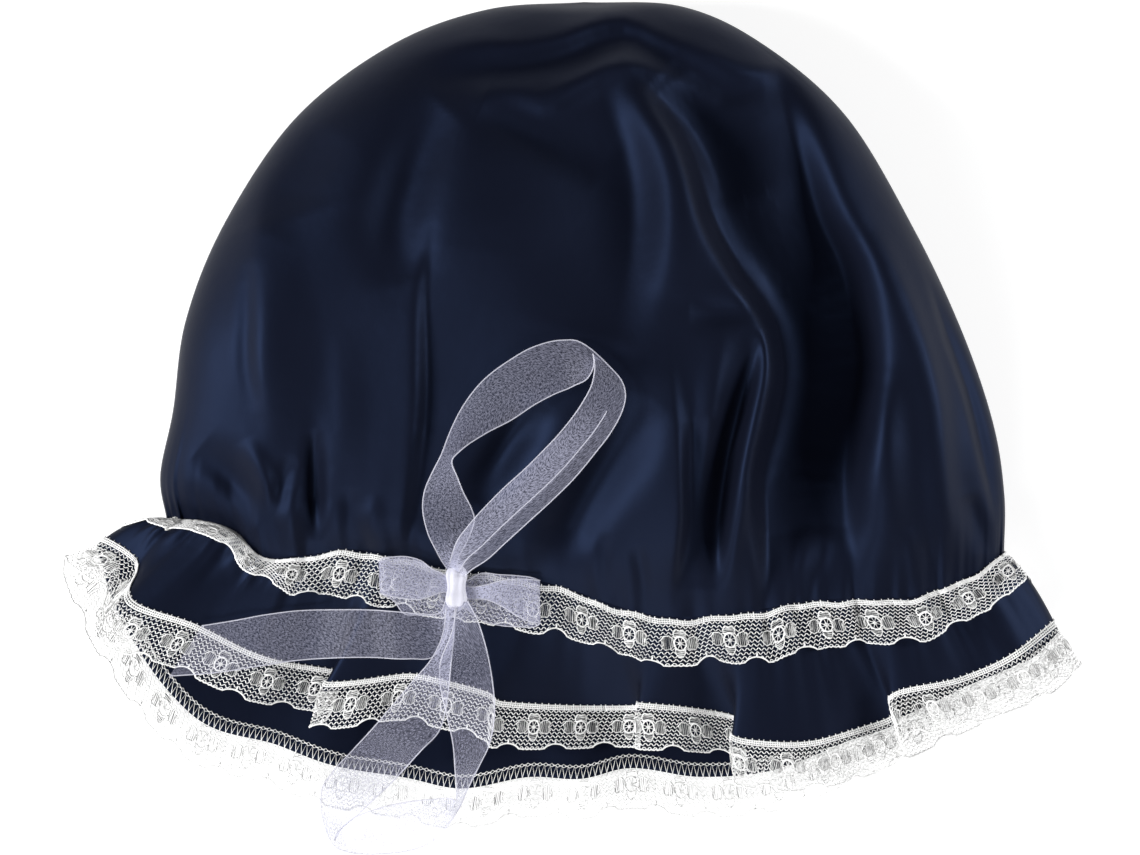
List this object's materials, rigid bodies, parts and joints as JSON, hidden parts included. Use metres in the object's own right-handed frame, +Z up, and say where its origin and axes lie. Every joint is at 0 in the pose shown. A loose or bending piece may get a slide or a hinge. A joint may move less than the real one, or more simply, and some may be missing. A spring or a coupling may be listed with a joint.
{
  "type": "sleep bonnet",
  "caption": "Navy satin sleep bonnet lying on its back, with a puffed crown, a folded frill, white lace over the neck line and along the hem, and a sheer ribbon bow.",
  "frame": {"origin": "on the table, under the middle of the bonnet's bounding box, with the bonnet lying on its back", "axes": "+X across the bonnet from the picture's left to its right, +Y from the opening towards the crown's top, +Z up, out of the front layer"},
  "size_m": [0.3189, 0.2636, 0.0726],
  "materials": {
    "satin": "smooth navy satin",
    "lace": "matt off-white lace",
    "organza": "sheer lavender-white organza",
    "elastic": "matt woven elastic"
  },
  "bodies": {
    "root": {"crown": "satin", "frill": "satin", "elastic_band": "elastic", "neck_lace": "lace", "hem_lace": "lace", "base_bow": "organza", "bow_knot": "organza", "upper_loop": "organza", "lower_loop": "organza", "ribbon_tail": "organza"}
  },
  "joints": []
}
